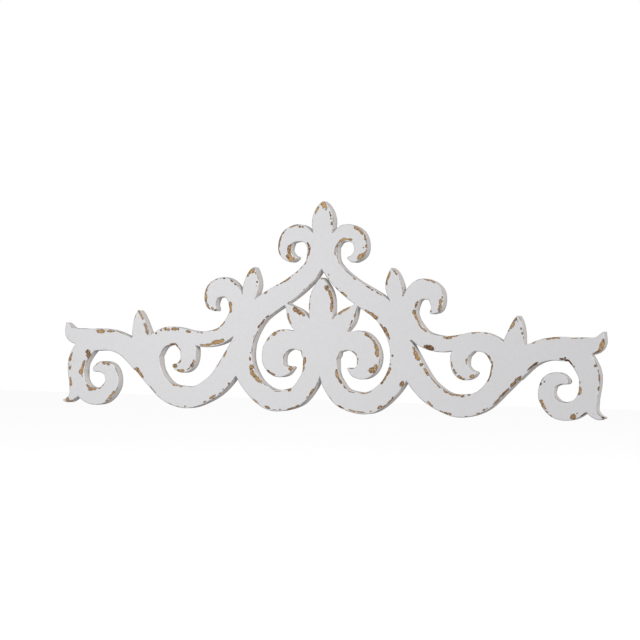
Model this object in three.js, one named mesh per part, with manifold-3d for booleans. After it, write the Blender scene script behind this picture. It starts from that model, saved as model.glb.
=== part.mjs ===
// A fretwork headpiece: one flat board, cut right through with scrollwork that is the same on both sides of
// its middle. Millimetres. +X runs along the board, +Z is up, the front faces -Y and the back lies at Y = 0,
// with the origin on the back in the middle of the board, halfway up.

import * as THREE from "three";
import { mergeVertices } from "three/addons/utils/BufferGeometryUtils.js";
import Module from "manifold-3d";

const boardHeight = 325.1; // as drawn, from the lowest lobes to the finial's tip
const boardThickness = 17.8;
const sandedOff = 0.7; // each side of a limb, which leaves it narrower than it was drawn
const longestFacet = 4; // along a curved edge
const shortestFacet = 0.6; // where the edges of two limbs cross
const noseFacets = 6; // around the blunt end of a limb
const touching = 0.1; // a point this close inside a circle still counts as on it
const paintColour = "#e6e6e8";

// The pattern is drawn on squares. The middle of the board and the bottom of its lowest lobes are the zero
// lines, and a limb is a row of stations along its centre line. A station says how many squares it lies out
// from the middle, how many up, and how many squares wide the limb is there. Limbs run on under each other,
// so that the board is whole where they meet.
const squaresHigh = 32.51;
const square = boardHeight / squaresHigh;
const originUp = squaresHigh / 2;

// Limbs that stand on the middle line, from root to tip.
const middleLimbs = {
  finialLeaf: [
    [0, 23.8, 3.4], [0, 26.2, 3.2], [0, 27.9, 3.4], [0, 29.35, 3.7], [0, 30.85, 2.6], [0, 32.38, 0.34],
  ],
  innerLeaf: [
    [0, 14.25, 3.85], [0, 16.1, 4.2], [0, 17.85, 3.7], [0, 19.8, 1.7], [0, 20.65, 0.36],
  ],
  stem: [
    [0, 6.6, 5.5], [0, 8.4, 5.5], [0, 10.0, 6.7], [0, 11.9, 5.9], [0, 14.25, 3.85],
  ],
};

// Limbs of the right half, from root to tip. The left half mirrors them.
const sideLimbs = {
  finialCurl: [
    [1.1, 25.2, 2.4], [2.4, 26.9, 2.2], [4.0, 27.6, 2.8], [5.85, 26.85, 2.5],
    [6.3, 24.85, 2.15], [5.25, 23.7, 1.4], [4.4, 23.75, 0.6],
  ],
  rafter: [
    [0.15, 25.7, 4.7], [1.2, 22.95, 3.2], [2.6, 21.05, 3.2], [5.2, 18.95, 3.45],
    [9.25, 16.5, 3.8], [12.1, 14.1, 3.7],
  ],
  hoop: [
    [9.3, 16.55, 3.25], [11.75, 13.75, 3.65], [13.05, 10.5, 3.55], [13.0, 6.95, 3.6], [11.0, 3.65, 3.3],
    [7.95, 1.77, 3.5], [4.15, 2.3, 3.25], [2.2, 4.3, 3.2], [1.45, 6.05, 3.15], [1.25, 7.95, 3.3],
  ],
  sideLeaf: [
    [2.25, 12.55, 3.0], [3.95, 14.35, 3.1], [5.2, 15.85, 1.45], [5.9, 16.7, 0.5],
  ],
  innerCurl: [
    [0.8, 10.9, 4.7], [4.3, 11.1, 3.0], [6.6, 10.8, 3.85], [7.8, 9.35, 3.95],
    [7.85, 7.7, 3.65], [7.05, 6.55, 2.6], [5.8, 6.35, 1.65], [4.7, 6.85, 0.5],
  ],
  shoulderLeaf: [
    [13.3, 14.6, 3.0], [12.45, 17.2, 2.3], [11.85, 19.4, 2.85], [11.65, 21.2, 1.65], [11.45, 22.2, 0.34],
  ],
  shoulderCurl: [
    [13.0, 11.6, 4.05], [14.25, 16.5, 2.9], [15.15, 18.4, 2.9], [16.6, 19.15, 3.25],
    [18.4, 18.45, 2.8], [18.8, 16.6, 1.95], [18.05, 15.7, 0.8],
  ],
  arm: [
    [13.9, 15.85, 2.95], [14.75, 13.65, 3.0], [16.8, 11.65, 2.75], [19.55, 10.95, 2.65],
    [22.0, 11.15, 2.4], [24.65, 11.35, 3.0], [26.5, 11.25, 3.1], [28.15, 10.3, 3.4], [30.3, 7.9, 4.95],
  ],
  armCurl: [
    [24.95, 11.5, 2.3], [22.8, 9.8, 2.95], [22.55, 7.75, 2.8], [23.25, 6.75, 2.4],
    [24.3, 6.5, 1.45], [25.0, 6.7, 0.7],
  ],
  underArm: [
    [13.65, 11.1, 2.35], [14.65, 8.0, 3.75], [17.25, 4.3, 3.6], [20.35, 2.25, 3.35],
    [23.1, 1.77, 3.6], [26.2, 2.6, 3.3], [28.75, 5.2, 3.7], [30.4, 8.3, 5.7],
  ],
  outerLeaf: [
    [30.6, 8.9, 4.0], [30.9, 10.85, 3.45], [31.2, 12.55, 2.7], [31.4, 14.0, 1.75], [31.5, 15.1, 0.6],
  ],
  endArm: [
    [30.2, 7.75, 5.45], [33.45, 9.45, 3.65], [35.95, 10.4, 3.5], [38.7, 10.55, 3.7],
    [40.45, 10.0, 3.5], [42.45, 7.0, 3.4], [42.4, 3.45, 3.0],
  ],
  endScroll: [
    [42.55, 4.55, 2.9], [41.45, 2.5, 2.8], [39.6, 1.5, 2.85], [37.5, 1.8, 2.8],
    [36.1, 3.55, 2.6], [36.45, 5.55, 2.45], [37.9, 6.2, 1.95], [39.1, 5.85, 1.05],
  ],
  upperFlick: [
    [39.0, 10.85, 2.9], [41.6, 10.95, 2.85], [43.6, 11.35, 2.25], [44.55, 13.1, 0.34],
  ],
  lowerFlick: [
    [42.45, 4.7, 2.95], [42.55, 3.2, 2.65], [43.05, 1.6, 1.6], [44.0, 0.75, 0.95], [44.85, 0.7, 0.34],
  ],
};

// The end of a limb, turned from its right edge round to its left.
function nose(circle, heading, lean) {
  const points = [];
  for (let i = 1; i < noseFacets; i += 1) {
    points.push(rim(circle, heading - lean + (2 * lean * i) / noseFacets));
  }
  return points;
}

// The point on a circle's rim in a direction. The circle's width is its z.
function rim(circle, direction) {
  const radius = circle.z / 2;
  return new THREE.Vector2(circle.x + radius * Math.cos(direction), circle.y + radius * Math.sin(direction));
}

// A limb's outline touches every circle that could roll along its centre line, as wide as the limb is there.
// Where the limb tapers, the touching points lean forward from square. Inside a tight bend, those that
// another circle covers are left out.
function limbOutline(stations) {
  const places = stations.map(
    ([out, up, width]) => new THREE.Vector3(
      out * square,
      (up - originUp) * square,
      width * square - 2 * sandedOff,
    ),
  );
  const guide = new THREE.CatmullRomCurve3(places, false, "catmullrom");
  const facets = Math.ceil(guide.getLength() / longestFacet);
  const circles = guide.getSpacedPoints(facets);
  const left = [];
  const right = [];
  let heading = 0;
  let lean = 0;
  circles.forEach((circle, i) => {
    const before = circles[Math.max(i - 1, 0)];
    const after = circles[Math.min(i + 1, facets)];
    const along = new THREE.Vector2(after.x - before.x, after.y - before.y);
    const taper = (before.z - after.z) / 2 / along.length();
    heading = along.angle();
    lean = Math.acos(THREE.MathUtils.clamp(taper, -1, 1));
    left.unshift(rim(circle, heading + lean));
    right.push(rim(circle, heading - lean));
  });
  const covered = (point) => circles.some(
    (circle) => Math.hypot(point.x - circle.x, point.y - circle.y) < circle.z / 2 - touching,
  );
  return [...right, ...nose(circles[facets], heading, lean), ...left].filter((point) => !covered(point));
}

const wasm = await Module();
wasm.setup();

function flatPrism(shape) {
  const geometry = new THREE.ExtrudeGeometry(shape, { depth: boardThickness, bevelEnabled: false });
  geometry.deleteAttribute("normal");
  geometry.deleteAttribute("uv");
  return mergeVertices(geometry);
}

function solidLimb(outline) {
  const prism = flatPrism(new THREE.Shape(outline));
  return new wasm.Manifold(
    new wasm.Mesh({
      numProp: 3,
      vertProperties: prism.getAttribute("position").array,
      triVerts: Uint32Array.from(prism.getIndex().array),
    }),
  );
}

function mirrored(outline) {
  return outline.map((point) => new THREE.Vector2(-point.x, point.y));
}

// All the limbs joined, as a flat mesh that still shows where one limb runs under another.
function joinedLimbs() {
  const outlines = Object.values(middleLimbs).map(limbOutline);
  for (const stations of Object.values(sideLimbs)) {
    const outline = limbOutline(stations);
    outlines.push(outline, mirrored(outline));
  }
  return outlines.map(solidLimb).reduce((whole, limb) => whole.add(limb)).getMesh();
}

// Follows the saw's cuts round the upper face of a flat mesh, and gives one closed loop for each cut.
function cutLoops(mesh) {
  const corner = (index) => new THREE.Vector3().fromArray(mesh.vertProperties, index * mesh.numProp);
  const onFace = (index) => corner(index).z > boardThickness / 2;
  const faceEdges = new Map();
  for (let i = 0; i < mesh.triVerts.length; i += 3) {
    const triangle = mesh.triVerts.slice(i, i + 3);
    if (triangle.every(onFace)) {
      triangle.forEach((from, k) => faceEdges.set(`${from} ${triangle[(k + 1) % 3]}`, from));
    }
  }
  const next = new Map();
  for (const [edge, from] of faceEdges) {
    const to = Number(edge.split(" ")[1]);
    if (!faceEdges.has(`${to} ${from}`)) {
      next.set(from, to);
    }
  }
  const loops = [];
  while (next.size > 0) {
    const [first] = next.keys();
    const loop = [];
    for (let index = first; next.has(index);) {
      const { x, y } = corner(index);
      const point = new THREE.Vector2(x, y);
      if (loop.length === 0 || point.distanceTo(loop.at(-1)) > shortestFacet) {
        loop.push(point);
      }
      const following = next.get(index);
      next.delete(index);
      index = following;
    }
    if (loop.at(-1).distanceTo(loop[0]) < shortestFacet) {
      loop.pop();
    }
    loops.push(loop);
  }
  return loops;
}

// The board is extruded once from its outer cut, with the inner cuts as holes, and then stood up with its
// front to -Y.
function boardGeometry() {
  const loops = cutLoops(joinedLimbs());
  const size = (loop) => Math.abs(THREE.ShapeUtils.area(loop));
  const [outer, ...inner] = loops.sort((a, b) => size(b) - size(a));
  const shape = new THREE.Shape(outer);
  shape.holes = inner.map((loop) => new THREE.Path(loop));
  const geometry = flatPrism(shape);
  const across = new THREE.Vector3(1, 0, 0);
  const up = new THREE.Vector3(0, 0, 1);
  const front = new THREE.Vector3(0, -1, 0);
  geometry.applyMatrix4(new THREE.Matrix4().makeBasis(across, up, front));
  geometry.computeVertexNormals();
  return geometry;
}

const board = new THREE.Mesh(
  boardGeometry(),
  new THREE.MeshStandardMaterial({ color: paintColour, roughness: 0.6, metalness: 0 }),
);
board.name = "headpiece_board";

const headpiece = new THREE.Group();
headpiece.add(board);

export default headpiece;
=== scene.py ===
# A fretwork headpiece for a door, window or wall: one flat fibreboard, sawn through in mirrored scrolls and
# leaves, painted white and rubbed back to bare board along its edges. Metres. +X runs along the board, +Z is
# up, the front faces -Y and the back lies at Y = 0.

import math

import bmesh
import bpy
import numpy as np
from mathutils import Matrix, Vector
from mathutils.geometry import delaunay_2d_cdt
from mathutils.kdtree import KDTree


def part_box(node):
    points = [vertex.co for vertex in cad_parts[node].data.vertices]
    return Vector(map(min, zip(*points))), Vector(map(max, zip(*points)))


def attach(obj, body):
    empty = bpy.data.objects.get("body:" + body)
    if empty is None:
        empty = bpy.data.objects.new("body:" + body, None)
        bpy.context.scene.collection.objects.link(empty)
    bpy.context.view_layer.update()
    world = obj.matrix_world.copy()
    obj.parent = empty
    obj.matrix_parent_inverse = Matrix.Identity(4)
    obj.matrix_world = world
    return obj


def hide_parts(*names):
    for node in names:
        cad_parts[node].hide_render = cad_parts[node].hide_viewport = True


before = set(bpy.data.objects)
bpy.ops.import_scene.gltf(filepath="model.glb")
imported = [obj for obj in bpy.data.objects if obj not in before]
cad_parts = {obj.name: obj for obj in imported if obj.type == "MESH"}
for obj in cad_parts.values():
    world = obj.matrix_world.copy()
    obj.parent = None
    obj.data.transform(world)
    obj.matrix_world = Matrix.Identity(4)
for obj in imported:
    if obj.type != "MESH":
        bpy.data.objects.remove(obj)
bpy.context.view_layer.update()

mm = 0.001


# The camera stands well to the right of the board and a little lower than its middle, 3.3 m away, and looks
# back at it along a slant, so that every cut edge that faces right shows its thickness. Its place, angles and
# lens are fitted to the photograph.
camera_place = Vector((1269.6, -3002.0, -51.1)) * mm
camera_turn = math.radians(23.06)
camera_tilt = math.radians(0.546)
camera_roll = math.radians(1.13)
camera_lens = 119.18

camera_data = bpy.data.cameras.new("camera")
camera_data.sensor_width = 36.0
camera_data.lens = camera_lens
camera = bpy.data.objects.new("camera", camera_data)
bpy.context.collection.objects.link(camera)
camera.matrix_world = (
    Matrix.Translation(camera_place)
    @ Matrix.Rotation(camera_turn, 4, "Z")
    @ Matrix.Rotation(math.radians(90) + camera_tilt, 4, "X")
    @ Matrix.Rotation(camera_roll, 4, "Z")
)
bpy.context.scene.camera = camera


# The board is a flat sheet sawn right through with a fine blade. The saw's cuts are read off the solid and
# followed as smooth curves, which stay sharp only where two limbs of the scrollwork cross. The edges are
# eased with sandpaper, the back ones a little less than the front ones.
board_low, board_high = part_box("headpiece_board")
board_thickness = board_high.y - board_low.y
board_bottom = board_low.z
saw_step = 1.5 * mm
crossing_angle = math.radians(55)
front_ease = 1.5 * mm
back_ease = 1.2 * mm
front_rows = [0.1, 0.35, 0.8, 1.5, 2.5, 3.7, 5.2, 7.2, 9.8]
back_rows = [0.1, 0.3, 0.7, 1.2]
front_filling = 5 * mm
back_filling = 12 * mm
wall_bands = 5
weld_distance = 0.01 * mm
row_crowding = 0.93
shading_angle = math.radians(38)


def saw_cuts(solid):
    """The closed lines that the saw followed round the front, each with the wood on its left."""
    ahead = {}
    for face in solid.faces:
        if face.normal.y < -0.5:
            for corner in face.loops:
                if abs(corner.link_loop_radial_next.face.normal.y) < 0.5:
                    ahead[corner.vert] = corner.link_loop_next.vert
    cuts = []
    while ahead:
        place = next(iter(ahead))
        cut = []
        while place in ahead:
            cut.append((place.co.x, place.co.z))
            place = ahead.pop(place)
        cuts.append(np.array(cut))
    return cuts


def smooth_cut(corners):
    """The same cut with its short flats rounded out and a point at every saw step."""
    run = np.roll(corners, -1, axis=0) - corners
    length = np.hypot(run[:, 0], run[:, 1])[:, None]
    leaving = run / length
    arriving = np.roll(leaving, 1, axis=0)
    before = np.roll(length, 1, axis=0)
    through = (arriving * length + leaving * before) / (before + length)
    turned = np.arccos(np.clip((arriving * leaving).sum(1), -1, 1))
    crossing = (turned > crossing_angle)[:, None]
    start_way = np.where(crossing, leaving, through)
    end_way = np.roll(np.where(crossing, arriving, through), -1, axis=0)
    points = []
    for i, start in enumerate(corners):
        end = corners[(i + 1) % len(corners)]
        steps = max(1, round(length[i, 0] / saw_step))
        for t in np.arange(steps) / steps:
            points.append(
                (2 * t**3 - 3 * t**2 + 1) * start
                + (3 * t**2 - 2 * t**3) * end
                + (t**3 - 2 * t**2 + t) * length[i, 0] * start_way[i]
                + (t**3 - t**2) * length[i, 0] * end_way[i]
            )
    return np.array(points)


solid = bmesh.new()
solid.from_mesh(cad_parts["headpiece_board"].data)
bmesh.ops.remove_doubles(solid, verts=solid.verts, dist=weld_distance)
solid.normal_update()
cuts = [smooth_cut(cut) for cut in saw_cuts(solid)]
solid.free()

cut_points = np.concatenate(cuts)
cut_number = np.repeat(np.arange(len(cuts)), [len(cut) for cut in cuts])
cut_start = np.cumsum([0] + [len(cut) for cut in cuts])
cut_next = np.concatenate([start + np.roll(np.arange(len(cut)), -1) for start, cut in zip(cut_start, cuts)])
cut_before = np.argsort(cut_next)
cut_run = cut_points[cut_next] - cut_points
cut_length = np.hypot(cut_run[:, 0], cut_run[:, 1])
cut_way = cut_run / cut_length[:, None]
cut_inward = np.stack([-cut_way[:, 1], cut_way[:, 0]], axis=1)
cut_inward = cut_inward + cut_inward[cut_before]
cut_inward /= np.hypot(cut_inward[:, 0], cut_inward[:, 1])[:, None]
cut_travel = np.cumsum(cut_length) - cut_length
cut_round = np.array([cut_length[cut_number == number].sum() for number in range(len(cuts))])

cut_tree = KDTree(len(cut_points))
for i, (x, z) in enumerate(cut_points):
    cut_tree.insert((x, z, 0), i)
cut_tree.balance()


def nearest_cut(points):
    """For each point of a face, the nearest point of the saw's line and how far away the line runs."""
    near = np.array([cut_tree.find((x, z, 0))[1] for x, z in points])
    reach = np.full(len(points), np.inf)
    for start in (near, cut_before[near]):
        offset = points - cut_points[start]
        share = np.clip((offset * cut_run[start]).sum(1) / cut_length[start] ** 2, 0, 1)
        apart = offset - cut_run[start] * share[:, None]
        reach = np.minimum(reach, np.hypot(apart[:, 0], apart[:, 1]))
    return near, reach


def in_the_wood(points):
    """True where a line from the point to the right crosses the cuts an odd number of times."""
    low = cut_points[:, 1]
    high = cut_points[cut_next, 1]
    slope = cut_run[:, 0] / np.where(high == low, 1, high - low)
    inside = []
    for x, z in points:
        crossed = (low > z) != (high > z)
        inside.append(np.count_nonzero(cut_points[crossed, 0] + (z - low[crossed]) * slope[crossed] > x) % 2)
    return np.array(inside, bool)


def face_sheet(rows, filling):
    """One face as a flat sheet of triangles, with rows of points beside every cut and a filling between."""
    points = []
    for row in rows:
        beside = cut_points + cut_inward * row * mm
        points.append(beside[nearest_cut(beside)[1] > row_crowding * row * mm])
    across = np.arange(board_low.x, board_high.x, filling)
    upward = np.arange(board_low.z, board_high.z, filling * math.sin(math.radians(60)))
    grid = np.array([(x + filling / 2 * (k % 2), z) for k, z in enumerate(upward) for x in across])
    points.append(grid[nearest_cut(grid)[1] > rows[-1] * mm + filling / 2])
    points = np.concatenate(points)
    points = np.concatenate([cut_points, points[in_the_wood(points)]])
    saw_lines = [(i, int(cut_next[i])) for i in range(len(cut_points))]
    triangles = np.array(delaunay_2d_cdt([Vector(p) for p in points], saw_lines, [], 1, 1e-9)[2])
    return points, triangles[in_the_wood(points[triangles].mean(axis=1))]


def eased(reach, radius):
    """How far a rounded edge has dropped below its face, at a distance from the cut."""
    short = radius - np.minimum(reach, radius)
    return radius - np.sqrt(radius**2 - short**2)


front_points, front_triangles = face_sheet(front_rows, front_filling)
back_points, back_triangles = face_sheet(back_rows, back_filling)
front_near, front_reach = nearest_cut(front_points)
front_reach[:len(cut_points)] = 0
back_reach = nearest_cut(back_points)[1]
back_reach[:len(cut_points)] = 0

front_depth = board_low.y + eased(front_reach, front_ease)
back_depth = board_high.y - eased(back_reach, back_ease)
band_depths = np.linspace(board_low.y + front_ease, board_high.y - back_ease, wall_bands + 1)[1:-1]


def standing(flat, depth):
    """Points of a flat face stood up in the part's frame, at a depth behind its front."""
    return np.stack([flat[:, 0], np.broadcast_to(depth, len(flat)), flat[:, 1]], axis=1)


places = [standing(front_points, front_depth)]
places += [standing(cut_points, depth) for depth in band_depths]
places += [standing(back_points, back_depth)]
ring_starts = np.cumsum([0, len(front_points)] + [len(cut_points)] * len(band_depths))
faces = front_triangles.tolist() + (back_triangles[:, ::-1] + ring_starts[-1]).tolist()
saw_index = np.arange(len(cut_points))
for upper, lower in zip(ring_starts, ring_starts[1:]):
    band = [cut_next + upper, saw_index + upper, saw_index + lower, cut_next + lower]
    faces += np.stack(band, axis=1).tolist()

board_mesh = bpy.data.meshes.new("painted_board")
board_mesh.from_pydata(np.concatenate(places).tolist(), [], faces)
board_mesh.polygons.foreach_set("use_smooth", [True] * len(faces))
board_mesh.set_sharp_from_angle(angle=shading_angle)
board = bpy.data.objects.new("painted_board", board_mesh)
bpy.context.collection.objects.link(board)


# Where the paint is rubbed or knocked off, down to the board. Each bare place is read off the photograph: how
# far out from the middle its own middle lies and how far up from the lowest lobes, its length along the edge
# and its width across it, all in millimetres, and how brown it is, from 0 for clean fibres to 1.3.
bare_places = {
    "finial leaf": [
        (0, 319.5, 17, 7, 0.1), (-9.5, 311, 14, 3.4, 0.25), (5.5, 311, 3.5, 3, 0.7), (0, 313, 3, 2, 0.5),
        (12, 306.5, 4.5, 2.2, 0.5), (13.5, 302, 4.5, 3, 0.6), (14, 298, 3.5, 2.5, 0.4),
        (15.5, 290, 6, 3.5, 0.5),
    ],
    "right finial curl": [
        (56, 282.5, 9, 4.2, 0.35), (61, 279.5, 7, 4, 0.3), (65, 275, 7, 3.5, 0.35), (70, 271, 3, 2, 0.5),
        (70.5, 267, 5, 3, 0.45), (73, 255, 5, 3, 0.5), (68.5, 252.5, 2.5, 2.5, 0.6),
        (73, 248.5, 3, 2.5, 0.4), (70.5, 245, 4.5, 2.5, 0.5), (63.5, 239.5, 12, 6.5, 0.3),
        (68, 242, 7, 4, 0.4), (32, 264, 9, 3, 0.35), (38, 266, 14, 3.2, 0.25), (47.5, 265, 5, 4, 0.45),
        (25, 257, 9, 2, 0.45), (22, 246, 10, 1.6, 0.45),
    ],
    "left finial curl": [
        (-51, 285, 6, 2.5, 0.3), (-46, 287, 3.5, 2, 0.45), (-41, 287.5, 3, 1.8, 0.6),
        (-37, 285, 5, 3.5, 0.65), (-33, 285, 4, 2.5, 0.5), (-62, 280, 3.5, 2.5, 0.35),
        (-66, 275, 7, 2.5, 0.5), (-70, 267, 14, 3, 0.5), (-72, 257, 11, 3, 0.55),
        (-71.5, 246, 10, 2.5, 0.4), (-55, 254, 5, 5, 0.4), (-55.5, 247, 9, 5, 0.45), (-54, 240, 9, 7, 0.3),
        (-51, 235, 12, 6, 0.2), (-56, 238, 11, 3, 0.7), (-52, 258, 2.5, 2.5, 0.9), (-23, 258, 6, 3, 0.75),
        (-20.5, 252, 9, 3.5, 0.6), (-21.5, 245, 8, 2.5, 0.5), (-24, 239, 8, 1.6, 0.4),
    ],
    "neck": [
        (6, 212, 2, 2, 0.2), (12.5, 211, 2.5, 2.5, 0.3), (12, 205.5, 2.5, 2, 0.4), (-27, 229, 7, 1.5, 0.5),
        (-33, 222.5, 4, 1.6, 0.5), (-41, 215, 4, 2.2, 0.45), (-48, 210, 2.5, 1.6, 0.4),
        (0, 205, 2.5, 2.5, 0.25),
    ],
    "right rafter": [
        (26, 191, 6, 1.5, 0.5), (34, 184, 4, 2, 0.6), (39.5, 181, 11, 3.2, 0.45), (54.5, 206, 4.5, 3, 0.3),
        (77, 193, 8, 1.8, 0.75), (84.5, 188.5, 5, 2.2, 0.8), (92.5, 184.5, 7, 1.8, 0.6),
        (98, 181.5, 4, 1.6, 0.5),
    ],
    "left rafter": [
        (-53, 206, 5, 2, 0.4), (-60, 202, 12, 3.5, 0.4), (-66.5, 198.5, 5, 2.2, 0.6),
        (-74, 195, 3.5, 2.2, 0.6), (-92, 183.5, 5.5, 3.2, 0.45), (-29, 188.5, 3, 1.6, 0.3),
    ],
    "inner leaf": [
        (9, 191, 9, 6, 0.55), (15, 182.5, 13, 4.5, 0.5), (18, 173, 12, 3.2, 0.45), (17.5, 162, 13, 4, 0.4),
        (-19, 163.5, 9, 2.6, 0.45), (-16, 186, 6, 1.4, 0.4), (-17.5, 177, 4, 1.4, 0.4),
    ],
    "right side leaf": [
        (33, 154, 8, 3.8, 0.35), (39, 157.5, 10, 3.2, 0.3), (45, 161, 6, 2.4, 0.3),
        (56, 149, 5.5, 2.2, 0.5), (52, 141, 5, 2.4, 0.6), (49.5, 135, 6, 1.8, 0.5), (49, 131, 4, 1.8, 0.5),
    ],
    "left side leaf": [
        (-42.5, 157.5, 8, 6.5, 0.5), (-36, 154, 10, 6.5, 0.45), (-29, 150, 7, 4, 0.4),
        (-54, 149, 7, 2.8, 0.4), (-53, 143, 6, 2.2, 0.5), (-50.5, 138, 8, 2, 0.4),
    ],
    "right side of the hoop": [
        (79, 155, 12, 3, 0.4), (86, 151.5, 10, 4.5, 0.4), (91, 147, 8, 5.5, 0.4), (101, 134, 8, 3, 0.65),
        (106.5, 128.5, 9, 6, 0.5), (111, 121.5, 8, 4.5, 0.45), (113, 116.5, 4, 3, 0.5),
        (119, 90, 3.2, 3, 0.65), (116.5, 77, 2.4, 2.4, 0.4), (115.5, 70, 5, 3.5, 0.5),
        (112, 63, 10, 4.2, 0.45), (107, 54.5, 10, 3.2, 0.5), (103, 49, 4, 3.5, 0.6), (77, 36, 20, 1.4, 0.3),
        (28.5, 64, 6, 4, 0.65), (29.5, 57, 12, 4.2, 0.4), (34, 49.5, 9, 4, 0.55), (41.5, 41, 5.5, 2.8, 0.5),
        (54, 37, 12, 1.6, 0.3),
    ],
    "left side of the hoop": [
        (-90, 146, 8, 2.2, 0.7), (-99, 136, 15, 2.2, 0.7), (-104, 130, 5, 3, 0.75),
        (-112, 115, 5, 1.6, 0.4), (-117, 90, 2.8, 2.2, 0.7), (-117.5, 80.5, 5, 3, 0.7),
        (-114.5, 67, 8, 6.5, 0.45), (-113, 58, 13, 6.5, 0.4), (-106, 50.5, 13, 5.5, 0.35),
        (-99, 45, 7, 3.5, 0.4), (-49.5, 34, 5.5, 5, 0.6), (-55.5, 34.5, 6, 2, 0.4),
        (-25.5, 79, 11, 5.5, 0.4), (-27, 70, 12, 4, 0.3), (-70, 35.5, 14, 1.4, 0.35),
    ],
    "right inner curl": [
        (76.5, 120.5, 8, 4, 0.5), (83, 116, 9, 2.4, 0.4), (89, 109, 8, 3, 0.45), (93, 101, 12, 5, 0.4),
        (94, 92.5, 10, 6, 0.35), (92, 72.5, 13, 5, 0.4), (87, 66.5, 10, 9, 0.45), (80, 66, 2.2, 1.8, 0.3),
        (55.5, 94, 6, 2.2, 0.4), (61, 90, 4, 1.6, 0.5), (63, 84, 4, 1.8, 0.6), (62, 78.5, 4, 1.4, 0.6),
        (52, 69, 10, 1.3, 0.5),
    ],
    "left inner curl": [
        (-62, 125, 4, 2.2, 0.4), (-70, 124, 6, 2.2, 0.35), (-77, 119.5, 8, 5.5, 0.35),
        (-87, 111.5, 7, 3, 0.35), (-96, 100, 4, 1.4, 0.5), (-86, 62, 7, 3, 0.75), (-79, 58, 10, 3.2, 0.5),
        (-48.5, 66.5, 7, 6, 0.45), (-33, 92, 5.5, 1.8, 0.35), (-25, 90, 2, 1.6, 0.3),
    ],
    "bottom lobes": [
        (36.5, 10, 11, 2.4, 0.85), (55, 5, 14, 2.4, 0.35), (70, 3, 17, 1.8, 0.45), (86, 5, 7, 1.5, 0.4),
        (100, 11.5, 8, 4.2, 0.5), (107, 13, 8, 2.4, 0.5), (116, 20.5, 12, 2.8, 0.45),
        (121, 27, 3, 2.4, 0.5), (135, 47.5, 10, 5.5, 0.55), (20, 21, 8, 1.3, 0.6), (-13, 31, 12, 3.2, 0.4),
        (-20, 23, 5, 2, 0.4), (-36, 9.5, 6, 2.6, 0.5), (-46, 5.5, 13, 2.6, 0.4), (-65, 3, 3.5, 2.2, 0.4),
        (-86.5, 6, 11, 4, 0.45), (-106, 14.5, 13, 2, 0.35), (-75, 2.5, 8, 1.2, 0.4),
    ],
    "right shoulder": [
        (110, 209, 15, 3.6, 0.35), (107, 199, 7, 3, 0.55), (120, 217, 8, 2.6, 0.35),
        (123, 213, 4, 2.4, 0.5), (170.5, 206, 9, 2.4, 0.3), (174, 204, 6, 2.6, 0.4),
        (181.5, 202.5, 9, 2.6, 0.35), (194.5, 172, 9, 5, 0.35), (193.5, 165, 8, 5, 0.4),
        (192.5, 160.5, 4, 4, 0.5), (197, 178, 4, 2.4, 0.3), (155.5, 167, 10, 3, 0.5),
        (152.5, 156, 6, 5, 0.45), (156, 149.5, 11, 5.5, 0.35), (159, 144, 6, 3, 0.4),
        (164, 134, 12, 2.6, 0.4), (170.5, 129, 7, 2.8, 0.4), (180, 157, 3.5, 3.5, 0.4),
    ],
    "left shoulder": [
        (-122.5, 212, 9, 3.6, 0.35), (-116.5, 217, 9, 7, 0.25), (-111, 213.5, 5, 2.4, 0.4),
        (-115, 215, 4, 2, 0.85), (-108, 200, 3.6, 3.6, 0.8), (-109, 193, 2.6, 2, 0.3),
        (-165, 204.5, 5.5, 2.2, 0.7), (-170, 205, 2.6, 1.8, 0.5), (-178, 203, 6, 1.5, 0.5),
        (-186, 200, 8, 2, 0.5), (-192, 193, 8, 2, 0.4), (-195, 186, 7, 3, 0.45), (-197, 181, 2.4, 2.4, 0.4),
        (-196, 173, 14, 4.4, 0.35), (-193, 163, 8, 3, 0.5), (-190, 158, 6, 1.8, 0.85),
        (-182, 157.5, 8, 4.5, 0.4), (-179, 155, 6, 2.4, 1.0), (-151, 200.5, 6, 2.2, 0.6),
        (-146, 195.5, 3.5, 2, 0.6), (-153, 165, 8, 4.6, 0.4), (-153, 157, 10, 5, 0.35),
        (-165, 134, 10, 3, 0.35), (-177, 125, 10, 3, 0.4),
    ],
    "right arm": [
        (178, 103.5, 16, 6.5, 0.8), (203, 119, 5, 3.6, 0.4), (209.5, 118.5, 9, 4.4, 0.35),
        (218, 121, 11, 2.2, 0.4), (247.5, 127, 8, 3.2, 0.4), (256, 128, 5, 1.6, 0.5),
        (267, 127.5, 5, 1.8, 0.3), (153, 101, 8, 2.6, 0.45), (156, 94, 8, 6, 0.4), (159.5, 88, 9, 7, 0.3),
        (165.5, 77.5, 5, 5.5, 0.5), (171, 70.5, 6, 3.2, 0.4), (175, 65, 9, 4.4, 0.4),
        (184, 56, 7, 1.8, 0.6), (189, 51, 6, 1.8, 0.4), (195, 47, 6, 1.8, 0.4), (206, 38, 8, 3.2, 0.5),
        (214.5, 34.5, 10, 3.2, 0.45), (225, 33, 9, 2.8, 0.4), (232.5, 32, 6, 3.4, 0.5),
        (241.5, 34, 4.5, 3, 0.5),
    ],
    "right arm curl": [
        (214, 79, 10, 2.2, 0.5), (218, 69.5, 8, 3, 0.6), (221, 66, 3.5, 3.5, 0.7), (227, 60, 9, 4.4, 0.4),
        (233, 57.5, 6, 2.2, 0.6), (245.5, 62, 8, 5, 0.4), (237, 86, 4.5, 3, 0.45), (237, 81, 3, 2, 0.35),
        (267.5, 95, 6, 2.2, 0.5), (273, 90, 9, 3.2, 0.5), (276.5, 84, 6, 2.8, 0.6),
        (277, 75.5, 9, 2.4, 0.5), (275, 66, 12, 2.8, 0.5), (272, 57, 6, 1.8, 0.6),
    ],
    "left arm": [
        (-169, 106.5, 13, 6, 0.3), (-178, 104.5, 12, 6.5, 0.35), (-190, 100.5, 14, 3.2, 0.35),
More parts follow.
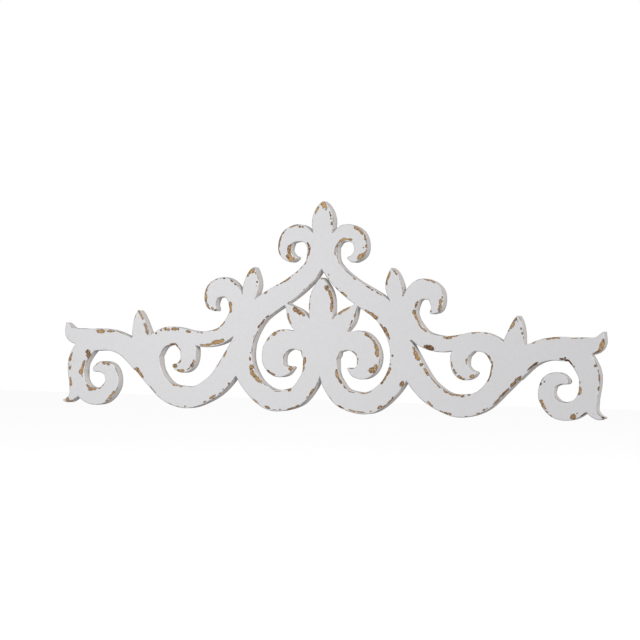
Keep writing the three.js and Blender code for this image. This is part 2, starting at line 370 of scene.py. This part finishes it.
        (-200, 100, 9, 3, 0.4), (-203, 119, 4.5, 1.8, 0.35), (-209, 119.5, 3.5, 1.4, 0.3),
        (-225.5, 120.5, 9, 3.4, 0.5), (-243, 124, 4, 3.4, 0.5), (-250.5, 124, 9, 5.5, 0.35),
        (-261, 123.5, 6, 5, 0.35), (-266.5, 124, 5, 5, 0.4), (-273.5, 122, 3.5, 3.2, 0.4),
        (-282.5, 117, 3.5, 3, 0.5), (-160, 88.5, 12, 2.8, 0.45), (-162, 84, 4.5, 3.4, 0.3),
        (-172, 72, 15, 2.8, 0.35), (-247, 37, 9, 3.2, 0.25), (-237, 34, 5, 2.4, 0.25),
    ],
    "left arm curl": [
        (-250, 100.5, 14, 3.2, 0.55), (-241, 94, 8, 1.8, 0.4), (-239, 73, 6, 2.4, 0.4),
        (-247.5, 66.5, 8, 6.5, 0.5), (-240, 59, 9, 3, 0.4), (-234, 59, 8, 4, 0.4), (-224, 62, 8, 2.4, 0.4),
        (-218.5, 68, 8, 4.2, 0.65), (-215.5, 73.5, 6, 3, 0.45),
    ],
    "underside of the right arm": [
        (180, 20, 7, 3.2, 0.4), (184.5, 16, 4.5, 3.2, 0.4), (199, 8.5, 7, 1.4, 0.5), (206.5, 6, 7, 3, 0.5),
        (213, 5, 5.5, 3, 0.5), (238, 2, 3.5, 1.8, 0.5), (256, 7, 5, 2.2, 0.3), (266, 13, 5, 3.2, 0.4),
        (270.5, 15, 3.5, 2, 0.4), (284, 25, 13, 2.2, 0.5), (296, 38, 20, 3, 0.6), (310, 52.5, 11, 4, 0.6),
        (319, 61.5, 15, 3.6, 0.6), (336, 76.5, 14, 2.4, 0.85), (343, 82, 10, 3, 1.3),
    ],
    "underside of the left arm": [
        (-153, 41, 3.5, 3.2, 0.5), (-163, 31, 3.5, 2.2, 0.5), (-168, 25.5, 5, 1.6, 0.4),
        (-182, 18.5, 14, 3.8, 0.35), (-194, 11.5, 6, 2.4, 0.4), (-242, 2, 4.5, 1.8, 0.5),
        (-229, 3, 3, 3, 0.4), (-287, 29, 15, 1.4, 0.75), (-314, 58.5, 11, 5, 0.45), (-308, 51, 14, 5, 0.35),
        (-255, 6, 6, 1.3, 0.5),
    ],
    "outer leaves": [
        (312, 147, 8, 4.2, 0.4), (315, 145, 3, 2.4, 0.5), (308, 139.5, 9, 5.4, 0.35),
        (305, 135, 4, 3, 0.35), (302, 131, 3.5, 2.2, 0.5), (321, 134.5, 3.4, 3, 0.5),
        (323, 127, 3.4, 3, 0.45), (325, 120, 2.4, 2.2, 0.3), (-314, 151, 7, 3.4, 0.35),
        (-309, 143.5, 13, 3.2, 0.35), (-303, 130, 6, 3, 0.45), (-300, 123.5, 9, 3.6, 0.35),
        (-297.5, 117.5, 6, 4.4, 0.5), (-301, 119, 3.4, 2.2, 0.4), (-320.5, 142, 7, 1.4, 0.3),
    ],
    "right end": [
        (341, 114, 5, 2.6, 0.35), (363, 119.5, 9, 2.6, 0.3), (373, 121, 14, 2.4, 0.3),
        (403, 121.5, 9, 1.5, 0.35), (413, 121.5, 6, 1.4, 0.4), (384, 90.5, 8, 3, 1.3), (391, 89, 8, 3, 1.2),
        (398, 84.5, 8, 2.6, 1.1), (389, 93, 4, 2, 1.1), (403, 79.5, 3.5, 2.2, 0.7),
        (412, 44.5, 12, 4.6, 0.4), (412, 57, 3.5, 2.2, 0.25), (355, 61, 9, 2, 0.55), (352.5, 53, 5, 3, 0.8),
        (358, 56.5, 2.8, 2.8, 0.7), (354, 28.5, 6, 5, 0.4), (357.5, 21.5, 12, 4.2, 0.3),
        (363, 13, 6, 1.6, 0.6), (369, 7.5, 4.5, 1.6, 0.5), (402.5, 7, 9, 7.5, 0.5),
        (409, 12, 4.5, 2.4, 0.5), (417, 10, 9, 2, 1.2), (444, 113, 14, 6, 0.3), (441.5, 106, 8, 4.5, 0.4),
        (436.5, 102, 8, 2.8, 0.65), (432.5, 99.8, 5, 1.6, 0.75), (434.5, 81.5, 4.5, 4.2, 0.6),
        (439, 74, 5, 1.4, 0.6), (440.5, 65, 11, 2.2, 0.6), (440, 49, 5.5, 3, 0.4), (448, 7, 8, 1.8, 1.1),
    ],
    "left end": [
        (-381, 118.5, 15, 6.5, 0.3), (-370, 119, 3.4, 3.2, 0.5), (-365, 119, 5, 4, 0.5),
        (-359.5, 119, 6, 2.6, 0.4), (-404.5, 85, 8, 8, 0.6), (-403, 80, 9, 8, 0.65),
        (-412, 66, 11, 4.4, 0.35), (-414.5, 57.5, 10, 4.4, 0.35), (-417, 52.5, 8, 7.5, 0.35),
        (-414, 47, 3.5, 2.2, 0.25), (-403.5, 30, 8, 3, 0.4), (-400, 25.5, 8, 6, 0.4),
        (-392, 25.5, 9, 3.2, 0.3), (-382.5, 27, 4.5, 2.2, 0.3), (-377, 34, 7, 1.8, 0.3),
        (-388, 67, 9, 2.8, 0.3), (-375, 68, 8, 5, 0.3), (-367, 66.5, 7, 4.4, 0.35), (-357, 21, 8, 4, 0.35),
        (-363, 14, 12, 3.8, 0.3), (-369, 8, 6, 3.2, 0.4), (-435, 79, 10, 3, 0.4), (-437, 72, 8, 4.4, 0.4),
        (-432, 70, 2.4, 2.2, 0.45), (-434, 63, 3.4, 2.4, 0.5), (-437, 58, 6, 4.4, 0.4),
        (-435.5, 41, 8, 3.4, 0.4), (-434.5, 34, 7, 4.2, 0.4), (-440.5, 8, 7, 7, 0.35),
        (-435, 5, 7, 2.4, 0.4), (-439, 65, 4, 1.5, 0.5),
    ],
}
wide_place = 5.2
plain_brown = 0.5
edge_specks = -0.95
edge_speck_fade = 0.9
no_bare_place = -3


def surface_rows():
    """Every point of the board's skin: its place on the face, its nearest cut, and how far in it lies."""
    flat = np.concatenate([front_points] + [cut_points] * len(band_depths) + [back_points])
    near = np.concatenate([front_near] + [saw_index] * len(band_depths) + [nearest_cut(back_points)[0]])
    down = np.concatenate(
        [-front_reach]
        + [np.full(len(cut_points), depth - board_low.y) for depth in band_depths]
        + [back_reach + board_thickness]
    )
    return flat, near, -down


def bareness():
    """Above 0 where the paint is gone, falling away round each bare place, with how brown the place is.

    A narrow place bends with its edge. A wide one is an oval on the face.
    """
    flat, near, inward = surface_rows()
    bare = np.maximum(no_bare_place, edge_specks - edge_speck_fade * np.abs(inward) / mm)
    brown = np.full(len(flat), plain_brown)
    for out, up, along, across, shade in sum(bare_places.values(), []):
        middle = np.array([out * mm, board_bottom + up * mm])
        index, reach = nearest_cut(middle[None])
        index, reach = index[0], reach[0]
        if across > wide_place:
            offset = flat - middle
            travel = offset @ cut_way[index]
            over = np.abs(offset @ cut_inward[index]) - np.minimum(inward, 0)
        else:
            travel = cut_travel[near] - cut_travel[index]
            whole = cut_round[cut_number[index]]
            travel = travel - whole * np.round(travel / whole)
            travel = np.where(cut_number[near] == cut_number[index], travel, 1)
            over = inward - reach
        fall = 1 - (2 * travel / (along * mm)) ** 2 - (2 * over / (across * mm)) ** 2
        brown = np.where(fall > bare, shade, brown)
        bare = np.maximum(bare, fall)
    return bare, brown


for name, values in zip(("bare", "brown"), bareness()):
    attribute = board_mesh.attributes.new(name, "FLOAT", "POINT")
    attribute.data.foreach_set("value", values.astype(np.float32))


# The paint is flat white over brown fibreboard. It lies clean on the face and is warmer on the sawn edges,
# where painted shade darkens it a little, and more towards the wall; the same darker colour covers the back.
# A dark line of grime and painted shade lies along the front edge in places. Where the paint has gone, the
# fibres are tan in the open and browner under the ragged rim of the paint, where a painted shadow of the rim
# darkens them.
paint_white = (0.86, 0.855, 0.87, 1)
dull_white = (0.755, 0.75, 0.765, 1)
# A dark colour laid along the front edge in patches: grime and painted shade on the eased edge.
edge_grime_and_shade = (0.17, 0.16, 0.155, 1)
# Sawn edge colours: warmer than the face and a little darker as painted shade, and darker still towards the
# wall as painted shade. The darker colour also covers the back.
edge_paint = (0.81, 0.775, 0.75, 1)
back_paint_and_wall_shade = (0.68, 0.64, 0.62, 1)
clean_fibres = (0.65, 0.42, 0.19, 1)
brown_fibres = (0.13, 0.055, 0.028, 1)
paint_film = 0.25 * mm
paint_patches = 4 * mm
grime_and_shade_patches = 14 * mm
chip_lumps = 5 * mm
chip_crumbs = 1.5 * mm
brown_mottle = 3 * mm
brush_marks = 2.5 * mm

rubbed_paint = bpy.data.materials.new("rubbed_white_paint")
rubbed_paint.use_nodes = True
paint_nodes = rubbed_paint.node_tree.nodes
paint_links = rubbed_paint.node_tree.links
paint_nodes.clear()


def paint_node(kind, inputs, **settings):
    """Adds one node to the board's paint. An input is a value, or another node's output to link."""
    node = paint_nodes.new("ShaderNode" + kind)
    for name, value in settings.items():
        setattr(node, name, value)
    for socket, value in inputs.items():
        if isinstance(value, bpy.types.NodeSocket):
            paint_links.new(value, node.inputs[socket])
        else:
            node.inputs[socket].default_value = value
    return node


def paint_noise(size, detail):
    """A noise between 0 and 1 whose lumps are about a size across."""
    inputs = {"Vector": board_place, "Scale": 1 / size, "Detail": detail, "Roughness": 0.65}
    return paint_node("TexNoise", inputs).outputs["Fac"]


def paint_sum(value, factor, added):
    """A value times a factor, plus a third number."""
    return paint_node("Math", {0: value, 1: factor, 2: added}, operation="MULTIPLY_ADD").outputs[0]


def paint_share(value, low, high):
    """How far a value has come from low to high, from 0 to 1, with soft ends."""
    inputs = {"Value": value, "From Min": low, "From Max": high}
    return paint_node("MapRange", inputs, interpolation_type="SMOOTHSTEP").outputs["Result"]


def paint_mix(share, first, second):
    """The first colour where the share is 0, the second where it is 1."""
    return paint_node("Mix", {0: share, 6: first, 7: second}, data_type="RGBA").outputs[2]


board_place = paint_node("TexCoord", {}).outputs["Object"]
place_parts = paint_node("SeparateXYZ", {0: board_place}).outputs
bare = paint_node("Attribute", {}, attribute_name="bare").outputs["Fac"]
brown = paint_node("Attribute", {}, attribute_name="brown").outputs["Fac"]

ragged = paint_sum(paint_noise(chip_lumps, 5), 3.4, -2.42)
crumbly = paint_sum(paint_noise(chip_crumbs, 3), 2.2, ragged)
worn = paint_sum(bare, 1, crumbly)
gone = paint_share(worn, 0.0, 0.3)

# Painted shadow: the bare fibres darken towards brown under the ragged rim of the paint.
painted_rim_shadow = paint_share(worn, 0.9, 0.1)
mottle = paint_sum(paint_noise(brown_mottle, 3), 2.4, -1.2)
shade = paint_sum(painted_rim_shadow, 0.5, paint_sum(brown, 1, mottle))
fibres = paint_mix(paint_share(shade, 0, 1), clean_fibres, brown_fibres)

into_edge = paint_share(place_parts["Y"], board_low.y + 0.4 * front_ease, board_low.y + 1.6 * front_ease)
# Painted shade: the sawn edges darken from their middle towards the wall, and the back takes the darker
# colour.
shade_to_the_wall = paint_share(place_parts["Y"], board_low.y + 0.5 * board_thickness, board_high.y)
sawn_edge_and_shade = paint_mix(shade_to_the_wall, edge_paint, back_paint_and_wall_shade)
face_paint = paint_mix(paint_noise(paint_patches, 4), paint_white, dull_white)
coat = paint_mix(into_edge, face_paint, sawn_edge_and_shade)

# Grime and painted shade: a dark line along the eased front edge, coming and going in patches.
grime_and_shade_share = paint_share(paint_noise(grime_and_shade_patches, 4), 0.42, 0.62)
on_edge = paint_share(place_parts["Y"], board_low.y + 0.04 * front_ease, board_low.y + 0.25 * front_ease)
edge_line = paint_sum(on_edge, paint_sum(into_edge, -1, 1), 0)
coat = paint_mix(paint_sum(grime_and_shade_share, edge_line, 0), coat, edge_grime_and_shade)

skin = paint_mix(gone, coat, fibres)
roughness = paint_sum(gone, 0.3, 0.55)
brushed = paint_sum(paint_noise(brush_marks, 3), 0.04, 0)
height = paint_sum(gone, -1, brushed)
relief = paint_node("Bump", {"Strength": 0.9, "Distance": paint_film, "Height": height}).outputs["Normal"]

paint_shader = paint_node("BsdfPrincipled", {"Base Color": skin, "Roughness": roughness, "Normal": relief})
paint_node("OutputMaterial", {"Surface": paint_shader.outputs[0]})
board_mesh.materials.append(rubbed_paint)

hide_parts("headpiece_board")
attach(board, "root")


# The board is shown held up in front of nothing, over a plain pale floor. The studio light is soft: one box
# in front and a little to the left, a large one far off to the right, and a weak one behind and above. Their
# places and strengths are fitted to the photograph.
floor_below = 0.35
floor_reach = 12
floor_paint = bpy.data.materials.new("pale_floor")
floor_paint.use_nodes = True
floor_shader = floor_paint.node_tree.nodes["Principled BSDF"]
floor_shader.inputs["Base Color"].default_value = (0.9, 0.9, 0.9, 1)
floor_shader.inputs["Roughness"].default_value = 0.9
floor_shader.inputs["Emission Color"].default_value = (1, 1, 1, 1)
floor_shader.inputs["Emission Strength"].default_value = 0.7

floor_level = board_bottom - floor_below
floor_mesh = bpy.data.meshes.new("pale_floor")
floor_sides = ((-1, -1), (1, -1), (1, 1), (-1, 1))
floor_corners = [(x * floor_reach, y * floor_reach, floor_level) for x, y in floor_sides]
floor_mesh.from_pydata(floor_corners, [], [(0, 1, 2, 3)])
floor_mesh.materials.append(floor_paint)
floor = bpy.data.objects.new("pale_floor", floor_mesh)
bpy.context.collection.objects.link(floor)
floor.visible_diffuse = False
floor.visible_glossy = False


def soft_light(name, place, size, power):
    """A square soft box that faces the middle of the board."""
    data = bpy.data.lights.new(name, "AREA")
    data.size = size
    data.energy = power
    light = bpy.data.objects.new(name, data)
    bpy.context.collection.objects.link(light)
    light.location = place
    light.rotation_euler = (-Vector(place)).to_track_quat("-Z", "Y").to_euler()
    light.visible_camera = False


soft_light("front_light", (-0.42, -1.0, 0.1), 0.5, 3.7)
soft_light("right_light", (5.6, -4.4, 2.0), 3.0, 272)
soft_light("back_light", (0.4, 2.0, 3.2), 1.5, 14)

room_lights_board = 0.28
room_looks = 1.0
room = bpy.data.worlds.new("white_room")
bpy.context.scene.world = room
room.use_nodes = True
room_nodes = room.node_tree.nodes
room_light = room_nodes["Background"]
room_light.inputs["Color"].default_value = (1, 1, 1, 1)
seen = room_nodes.new("ShaderNodeLightPath")
seen_strength = room_nodes.new("ShaderNodeMapRange")
seen_strength.inputs["To Min"].default_value = room_lights_board
seen_strength.inputs["To Max"].default_value = room_looks
room.node_tree.links.new(seen.outputs["Is Camera Ray"], seen_strength.inputs["Value"])
room.node_tree.links.new(seen_strength.outputs["Result"], room_light.inputs["Strength"])
bpy.context.scene.view_settings.view_transform = "Standard"
